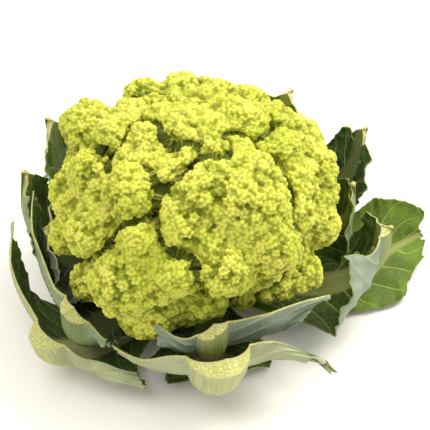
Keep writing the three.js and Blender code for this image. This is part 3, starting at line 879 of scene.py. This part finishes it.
# %% [markdown]
# ## The leaves: relief and thickness
#
# The sheet gets its underside by moving along the surface normal, far at the midrib and little at the
# edges. On it go the forms that it lacks: the blade puffs up between its side veins, the edges crinkle and
# have shallow teeth, the end is torn in waves, and ridges run along the back of the midrib. Sculpting them
# by hand would take a day for fifteen leaves. A few sines of s and u give them all, and a phase of its own
# makes each leaf differ.

# %% Relief of a leaf
STALK_RADIUS = 24
GAP = 0.4
LEAF_ROWS = 72
BLADE_MIDDLE = 1.4
BLADE_EDGE = 0.7
BLADE_START = 0.25
RIB_ROUNDNESS = 0.8
PUFF = 0.9
PUFF_MIDDLE = 0.4
CRINKLE = 1.3
CRINKLES = 6.5
CRINKLE_SECOND = 2.3
CRINKLE_SECOND_DEPTH = 0.6
CRINKLE_SHIFT = 3
FLUTES = 7.0
TORN = 0.035
TEARS = 9.0
TOOTH = 0.0225
TEETH = 26
RIDGES = 5
RIDGE_HEIGHT = 0.25
VEIN_HEIGHT = 0.5
VEIN_START = 0.7


def leaf_faces(leaf, phase):
    """The upper and lower grids of points of a leaf, with its s, u and share of the rib."""
    s = np.linspace(0, 1, LEAF_ROWS + 1)
    u, rib_end = across_leaf(leaf, s)
    s = np.repeat(s[:, None], u.shape[1], axis=1)
    out = np.abs(u)
    over_rib = np.clip(out / rib_end, 0, 1)
    blade = 1 - (1 - np.clip((out - rib_end) / BLADE_START, 0, 1)) ** 2
    teeth = 0.5 + 0.5 * np.sin(TEETH * 2 * math.pi * s + phase)
    reach = u * (1 - TOOTH * teeth * out ** 6 * s)
    torn = TORN * blade * (0.5 + 0.5 * np.sin(TEARS * u + 2 * phase)) * s ** 4
    points = sheet(leaf, s - torn, reach)
    normals = grid_normals(points)
    thick = np.maximum(1 - over_rib ** 2, 0) ** RIB_ROUNDNESS
    puff = PUFF * blade * (1 - vein_share(s, u) ** 2 - PUFF_MIDDLE)
    turn = CRINKLES * 2 * math.pi * s + CRINKLE_SHIFT * np.sign(u) + phase
    waves = np.sin(turn) + CRINKLE_SECOND_DEPTH * np.sin(CRINKLE_SECOND * turn + 1)
    crinkle = CRINKLE * blade * (waves * out ** 3 * s + np.sin(FLUTES * u + phase) * s ** 3)
    upper = points + normals * (puff + crinkle - leaf["trough"] * s * thick)[..., None]
    ridge = RIDGE_HEIGHT * np.cos(RIDGES * math.pi * u / rib_end) * thick
    thickness = lerp(BLADE_MIDDLE, BLADE_EDGE, out) + between(leaf["depth"], s) * thick + ridge * s
    raised = VEIN_HEIGHT * blade * np.maximum(vein_share(s, u) - VEIN_START, 0) / (1 - VEIN_START)
    lower = upper - normals * (thickness + raised)[..., None]
    for grid in (upper, lower):
        scale = (STALK_RADIUS + GAP) / np.hypot(grid[0, :, 0], grid[0, :, 1])
        grid[0, :, :2] *= scale[:, None]
    return upper, lower, s, u, over_rib


upper_face, lower_face = leaf_faces(LEAVES["leaf_front_mid"], 0)[:2]
rib_depth = np.linalg.norm(upper_face - lower_face, axis=2).max()
print("leaf_front_mid is", round(float(rib_depth), 1), "mm thick at its midrib")

# %% [markdown]
# ## The leaves: closing the mesh
#
# Both faces of a leaf are grids. Where they end, and round each eaten hole, walls join them, so that the
# leaf is a real body with a thickness and not a sheet. A Solidify modifier does the same in the editor.
# The cut end is a face of its own, with a few rows of points that are moved a little at random: a knife
# leaves it rough, and it takes a colour of its own.

# %% Close a leaf
CUT_LAYERS = 5
CUT_ROUGHNESS = 0.35


def leaf_mesh(leaf, phase, holes=()):
    """Points, faces and stored numbers of a closed leaf, with its cut end as a face of its own."""
    upper, lower, s, u, over_rib = leaf_faces(leaf, phase)
    rows, width = s.shape
    count = rows * width
    number = np.arange(count).reshape(rows, width)
    solid = np.ones((rows - 1, width - 1), bool)
    for hole_s, hole_u, half_s, half_u in holes:
        middle_s = (s[:-1, :-1] + s[1:, 1:]) / 2
        middle_u = (u[:-1, :-1] + u[1:, 1:]) / 2
        solid &= ((middle_s - hole_s) / half_s) ** 2 + ((middle_u - hole_u) / half_u) ** 2 > 1
    a, b, c, d = number[:-1, :-1], number[1:, :-1], number[1:, 1:], number[:-1, 1:]
    top = np.stack([a, b, c, d], axis=-1)[solid]
    bottom = np.stack([a, d, c, b], axis=-1)[solid] + count
    faces = [top, bottom]
    edges = [(a, b, solid, np.roll(solid, 1, axis=1), 0), (c, d, solid, np.roll(solid, -1, axis=1), -1)]
    for start, end, here, beside, border in edges:
        open_side = beside.copy()
        open_side[:, border] = False
        wall = here & ~open_side
        faces.append(np.stack([start, start + count, end + count, end], axis=-1)[wall])
    for start, end, shift, border in ((d, a, 1, 0), (b, c, -1, -1)):
        beyond = np.roll(solid, shift, axis=0)
        beyond[border] = border == -1
        wall = solid & ~beyond
        faces.append(np.stack([start, start + count, end + count, end], axis=-1)[wall])
    share = np.linspace(0, 1, CUT_LAYERS + 1)[:, None, None]
    cut = lerp(upper[-1], lower[-1], share)
    way_out = upper[-1] - upper[-2]
    way_out /= np.linalg.norm(way_out, axis=-1, keepdims=True)
    rough = draws.uniform(-1, 1, cut.shape[:2]) * np.sin(math.pi * share[..., 0]) * CUT_ROUGHNESS
    cut = cut + rough[..., None] * way_out
    cut_number = 2 * count + np.arange(cut.shape[0] * width).reshape(-1, width)
    a, b, c, d = cut_number[:-1, :-1], cut_number[1:, :-1], cut_number[1:, 1:], cut_number[:-1, 1:]
    faces.append(np.stack([a, b, c, d], axis=-1).reshape(-1, 4))
    points = np.concatenate([upper.reshape(-1, 3), lower.reshape(-1, 3), cut.reshape(-1, 3)])
    last_row = np.broadcast_to(u[-1], cut.shape[:2]).ravel()
    rib_row = np.broadcast_to(over_rib[-1], cut.shape[:2]).ravel()
    rim = np.broadcast_to(np.abs(2 * share[..., 0] - 1), cut.shape[:2]).ravel()
    zeros = np.zeros(count)
    values = {
        "along": np.concatenate([s.ravel(), s.ravel(), np.ones(last_row.size)]),
        "across": np.concatenate([u.ravel(), u.ravel(), last_row]),
        "over_rib": np.concatenate([over_rib.ravel(), over_rib.ravel(), rib_row]),
        "underside": np.concatenate([zeros, zeros + 1, np.zeros(last_row.size)]),
        "cut": np.concatenate([zeros, zeros, np.ones(last_row.size)]),
        "rim": np.concatenate([zeros, zeros, rim]),
    }
    return points, np.concatenate(faces), values


print("a cut face has", CUT_LAYERS + 1, "rows of points")

# %% [markdown]
# ## The leaves: colour and veins
#
# Seen from above, these leaves are dark to bright green, and from below they are grey-green with a waxy
# bloom. Pale veins branch from the midrib and fork into a fine net. The rim is a thin pale line. A photo of
# a leaf could be laid over the mesh, but a procedural material stays sharp at any size. The mesh holds s
# and u at each point, and the side veins are stripes in s that slant with u, bent by a little noise. The
# net between them is the border of Voronoi cells. A fresh cut is pale, and freckled with whitish fibres.

# %% Leaf material
NET_SCALE = 210.0
VEIN_SWAY = 0.35
VEIN_THINNING = 0.07
SHADED = 0.62
BLOOM_SHADED = 0.78
RIB_SHADED = 0.72
STREAKS_ACROSS = 60.0
STREAKS_ALONG = 3.0
FLESH = (0.44, 0.45, 0.12)
FIBRE_WHITE = (0.62, 0.61, 0.33)
CUT_RIM = (0.50, 0.43, 0.22)
VEIN_BAND = (0.86, 0.95)
NET_BAND = (0.07, 0.0)
RIB_BAND = (1.05, 0.75)
MOTTLE_BAND = (0.35, 0.68)
STRIPE_BAND = (0.35, 0.65)
EDGE_BAND = (0.975, 0.995)
FIBRE_BAND = (0.5, 0.62)
CUT_RIM_BAND = (0.72, 0.95)
NET_COVER = 0.18
VEIN_COVER = 0.75
RIB_COVER = 0.9
EDGE_COVER = 0.4
NET_RELIEF = 0.35
GRAIN_RELIEF = 0.5


def leaf_material(name, upper, under, vein, rib):
    """A leaf with pale veins, a waxy underside, a pale rim and freckled cuts. The colours are its own."""
    material, tree, shader = start_material(name)
    along = stored(tree, "along")
    across = stored(tree, "across")
    out = sums(tree, "ABSOLUTE", across)
    below = stored(tree, "underside")
    sway = sums(tree, "MULTIPLY", sums(tree, "SUBTRACT", noise(tree, 0.02, 2), 0.5), VEIN_SWAY)
    slanted = sums(tree, "MULTIPLY", out, -VEINS * VEIN_SLANT)
    rightward = sums(tree, "MULTIPLY", sums(tree, "GREATER_THAN", across, 0.0), VEIN_OFFSET)
    turn = sums(tree, "ADD", sums(tree, "MULTIPLY", along, VEINS), sums(tree, "ADD", slanted, rightward))
    turn = sums(tree, "ADD", turn, sway)
    share = sums(tree, "FRACT", turn)
    near_vein = sums(tree, "ABSOLUTE", sums(tree, "SUBTRACT", sums(tree, "MULTIPLY", share, 2.0), 1.0))
    thin = sums(tree, "MULTIPLY", out, VEIN_THINNING)
    side_vein = step(tree, sums(tree, "SUBTRACT", near_vein, thin), *VEIN_BAND)
    place = put(tree, "ShaderNodeTexCoord").outputs["Object"]
    cell_values = {"Vector": place, "Scale": NET_SCALE}
    cells = put(tree, "ShaderNodeTexVoronoi", cell_values, feature="DISTANCE_TO_EDGE")
    net = step(tree, cells.outputs["Distance"], *NET_BAND)
    on_rib = step(tree, stored(tree, "over_rib"), *RIB_BAND)
    mottle = step(tree, noise(tree, 0.016, 4), *MOTTLE_BAND)
    face = blend(tree, mottle, tuple(SHADED * channel for channel in upper), upper)
    bloom = blend(tree, mottle, under, tuple(BLOOM_SHADED * channel for channel in under))
    skin = blend(tree, below, face, bloom)
    skin = blend(tree, sums(tree, "MULTIPLY", net, NET_COVER), skin, vein)
    skin = blend(tree, sums(tree, "MULTIPLY", side_vein, VEIN_COVER), skin, vein)
    far_across = sums(tree, "MULTIPLY", across, STREAKS_ACROSS)
    far_along = sums(tree, "MULTIPLY", along, STREAKS_ALONG)
    streaks = put(tree, "ShaderNodeCombineXYZ", {"X": far_across, "Y": far_along}).outputs[0]
    stripe = put(tree, "ShaderNodeTexNoise", {"Vector": streaks, "Scale": 1.0, "Detail": 3.0}).outputs[0]
    rib_shade = tuple(RIB_SHADED * channel for channel in rib)
    ribbing = blend(tree, step(tree, stripe, *STRIPE_BAND), rib_shade, rib)
    skin = blend(tree, sums(tree, "MULTIPLY", on_rib, RIB_COVER), skin, ribbing)
    edge = step(tree, out, *EDGE_BAND)
    skin = blend(tree, sums(tree, "MULTIPLY", edge, EDGE_COVER), skin, vein)
    fibres = step(tree, noise(tree, 0.0011, 2), *FIBRE_BAND)
    flesh = blend(tree, fibres, FLESH, FIBRE_WHITE)
    rind = blend(tree, step(tree, stored(tree, "rim"), *CUT_RIM_BAND), flesh, CUT_RIM)
    colour = blend(tree, stored(tree, "cut"), skin, rind)
    tree.links.new(colour, shader.inputs["Base Color"])
    shader.inputs["Roughness"].default_value = 0.55
    shader.inputs["Specular IOR Level"].default_value = 0.18
    shader.inputs["Subsurface Weight"].default_value = 0.08
    shader.inputs["Subsurface Radius"].default_value = (0.5, 1.0, 0.2)
    shader.inputs["Subsurface Scale"].default_value = 0.0015
    relief = sums(tree, "ADD", side_vein, sums(tree, "MULTIPLY", net, NET_RELIEF))
    relief = sums(tree, "ADD", relief, sums(tree, "MULTIPLY", noise(tree, 0.0012), GRAIN_RELIEF))
    bump = put(tree, "ShaderNodeBump", {"Height": relief, "Strength": 0.5, "Distance": 0.0004})
    tree.links.new(bump.outputs[0], shader.inputs["Normal"])
    return material


# %% [markdown]
# ## The leaves: one after another
#
# The leaves differ in age and in how the light of the field has reached them, so each gets its own
# greens: for its upper face, its underside, its veins and its midrib. One material with a random tint
# would be shorter, but the photograph shows which leaf is which. Insects have eaten two holes into the leaf
# at the right, each given by its place in s and u and its half sizes.

# %% Make the leaves
DARK = (0.045, 0.09, 0.012)
BRIGHT = (0.12, 0.21, 0.015)
TEAL = (0.055, 0.10, 0.045)
GREY = (0.25, 0.31, 0.17)
PALE_GREY = (0.40, 0.43, 0.25)
BLUE_GREY = (0.27, 0.33, 0.25)
YELLOW_VEIN = (0.34, 0.42, 0.09)
PALE_VEIN = (0.50, 0.56, 0.34)
RIB_GREEN = (0.33, 0.37, 0.11)
RIB_GREY = (0.20, 0.25, 0.09)
RIB_PALE = (0.52, 0.54, 0.24)
LOOKS = {
    "leaf_front_inner": (TEAL, BLUE_GREY, PALE_VEIN, RIB_GREEN),
    "leaf_right_inner": (DARK, GREY, YELLOW_VEIN, RIB_GREEN),
    "leaf_back_inner": (DARK, GREY, PALE_VEIN, RIB_GREEN),
    "leaf_left_inner": (TEAL, BLUE_GREY, PALE_VEIN, RIB_GREY),
    "leaf_front_mid": (DARK, PALE_GREY, PALE_VEIN, RIB_PALE),
    "leaf_left_front_inner": (DARK, GREY, PALE_VEIN, RIB_GREY),
    "leaf_right_mid": (DARK, BLUE_GREY, YELLOW_VEIN, RIB_GREEN),
    "leaf_back_right": (BRIGHT, GREY, YELLOW_VEIN, RIB_GREEN),
    "leaf_left_back": (BRIGHT, PALE_GREY, PALE_VEIN, RIB_GREY),
    "leaf_left_front_outer": (DARK, PALE_GREY, YELLOW_VEIN, RIB_PALE),
    "leaf_front_outer": (DARK, GREY, YELLOW_VEIN, RIB_GREEN),
    "leaf_right_outer": (BRIGHT, GREY, YELLOW_VEIN, RIB_GREEN),
    "leaf_right_back": (DARK, PALE_GREY, PALE_VEIN, RIB_GREY),
    "leaf_back_outer": (DARK, GREY, PALE_VEIN, RIB_GREEN),
    "leaf_left_outer": (BRIGHT, GREY, PALE_VEIN, RIB_GREEN),
}
HOLES = {"leaf_right_mid": [(0.62, 0.5, 0.03, 0.09), (0.78, 0.3, 0.02, 0.07)]}

for turn_number, (leaf_name, leaf) in enumerate(LEAVES.items()):
    points, faces, values = leaf_mesh(leaf, turn_number, HOLES.get(leaf_name, ()))
    piece = make_piece(leaf_name + "_fine", points, faces, values, "leaf", leaf_name)
    piece.data.materials.append(leaf_material(leaf_name + "_skin", *LOOKS[leaf_name]))

# %% [markdown]
# ## The stalk
#
# The stalk is a short thick stem that the leaves and the curd grow from. It only shows from low down and
# from below, but there it shows how the head was harvested: a flat cut with a pale pith, a ring of
# fibres and a tougher rind. A cylinder would do for a stand-in. Here its side is lathed with soft lengthwise
# ridges and two leaf scars, and its cut face is a dish of rings.

# %% Shape the stalk
STALK_HEIGHT = 34
STALK_BEVEL = 2
STALK_SIDES = 96
STALK_RINGS = 24
SCAR_RINGS = (9.5, 20)
SCAR_DEPTH = 0.25
STALK_RIDGES = 17
STALK_RIDGE_HEIGHT = 0.22
RIDGE_TWIST = 9
SCAR_WIDTH = 1.5
AXIS_RADIUS = 0.01
TOP_RINGS = 8
BEVEL_STEPS = 4
FACE_RINGS = 15


def stalk_profile():
    """Radius and height down the stalk: top, side, bevel, and the cut face to its middle."""
    top = [(radius, STALK_HEIGHT) for radius in np.linspace(AXIS_RADIUS, STALK_RADIUS, TOP_RINGS)]
    side = [(STALK_RADIUS, height) for height in np.linspace(STALK_HEIGHT, STALK_BEVEL, STALK_RINGS)[1:]]
    turn = np.radians(np.linspace(0, 90, BEVEL_STEPS + 1)[1:])
    edge = STALK_RADIUS - STALK_BEVEL
    bevel = list(zip(edge + STALK_BEVEL * np.cos(turn), STALK_BEVEL - STALK_BEVEL * np.sin(turn)))
    face = [(radius, 0) for radius in np.linspace(edge, AXIS_RADIUS, FACE_RINGS + 1)[1:]]
    return np.array(top + side + bevel + face)


def stalk_mesh():
    """Points, faces and stored numbers of the stalk."""
    radius, height = stalk_profile().T
    bearing = np.arange(STALK_SIDES) * 360 / STALK_SIDES
    bearing, radius = np.meshgrid(bearing, radius)
    height = np.repeat(height[:, None], STALK_SIDES, axis=1)
    on_side = (height > STALK_BEVEL / 2) & (height < STALK_HEIGHT) & (radius > STALK_RADIUS - 1)
    scars = sum(np.exp(-((height - ring) / SCAR_WIDTH) ** 2) for ring in SCAR_RINGS)
    ridge = STALK_RIDGE_HEIGHT * np.sin(np.radians(STALK_RIDGES * bearing) + height / RIDGE_TWIST)
    radius = radius - on_side * (STALK_RIDGE_HEIGHT - ridge + SCAR_DEPTH * scars)
    points = polar(bearing, radius, height).reshape(-1, 3)
    rows = len(height)
    number = np.arange(rows * STALK_SIDES).reshape(rows, STALK_SIDES)
    beside = np.roll(number, -1, axis=1)
    faces = np.stack([number[:-1], number[1:], beside[1:], beside[:-1]], axis=-1).reshape(-1, 4)
    return points, faces, {"ring": radius.ravel() / STALK_RADIUS, "scar": (scars * on_side).ravel()}


print("the stalk's profile has", len(stalk_profile()), "points")

# %% [markdown]
# ## The stalk's flesh
#
# The cut face has a whitish pith, a ring of woody fibres and a green rind, in rings round its middle. A
# Wave texture makes rings, but its rings are all alike. So the mesh holds how far out each point is, and
# the colours change at chosen shares of that.

# %% Stalk material and piece
RIND = (0.50, 0.58, 0.27)
RIND_DARK = (0.40, 0.49, 0.20)
SCAR_BROWN = (0.42, 0.36, 0.18)
PITH = (0.66, 0.70, 0.42)
PITH_WHITE = (0.82, 0.82, 0.62)
WOODY_RING = (0.52, 0.56, 0.30)


def stalk_material():
    """Pale green rind with scars, and a whitish pith with a ring of fibres where it is cut."""
    material, tree, shader = start_material("stalk_flesh")
    rind = blend(tree, step(tree, noise(tree, 0.006), 0.3, 0.7), RIND, RIND_DARK)
    scarred = blend(tree, step(tree, stored(tree, "scar"), 0.3, 1.0), rind, SCAR_BROWN)
    fibres = step(tree, noise(tree, 0.0012, 2), 0.48, 0.6)
    pith = blend(tree, fibres, PITH, PITH_WHITE)
    ring = stored(tree, "ring")
    woody = sums(tree, "MULTIPLY", step(tree, ring, 0.66, 0.74), step(tree, ring, 0.86, 0.78))
    cut = blend(tree, woody, pith, WOODY_RING)
    height = put(tree, "ShaderNodeSeparateXYZ", {0: put(tree, "ShaderNodeTexCoord").outputs["Object"]})
    on_face = step(tree, height.outputs["Z"], 0.0006, 0.0002)
    tree.links.new(blend(tree, on_face, scarred, cut), shader.inputs["Base Color"])
    shader.inputs["Roughness"].default_value = 0.5
    shader.inputs["Subsurface Weight"].default_value = 0.1
    shader.inputs["Subsurface Scale"].default_value = 0.002
    bump = put(tree, "ShaderNodeBump", {"Height": noise(tree, 0.0012), "Strength": 0.3, "Distance": 0.0003})
    tree.links.new(bump.outputs[0], shader.inputs["Normal"])
    return material


stalk = make_piece("stalk_fine", *stalk_mesh(), "stalk", "stalk")
stalk.data.materials.append(stalk_material())
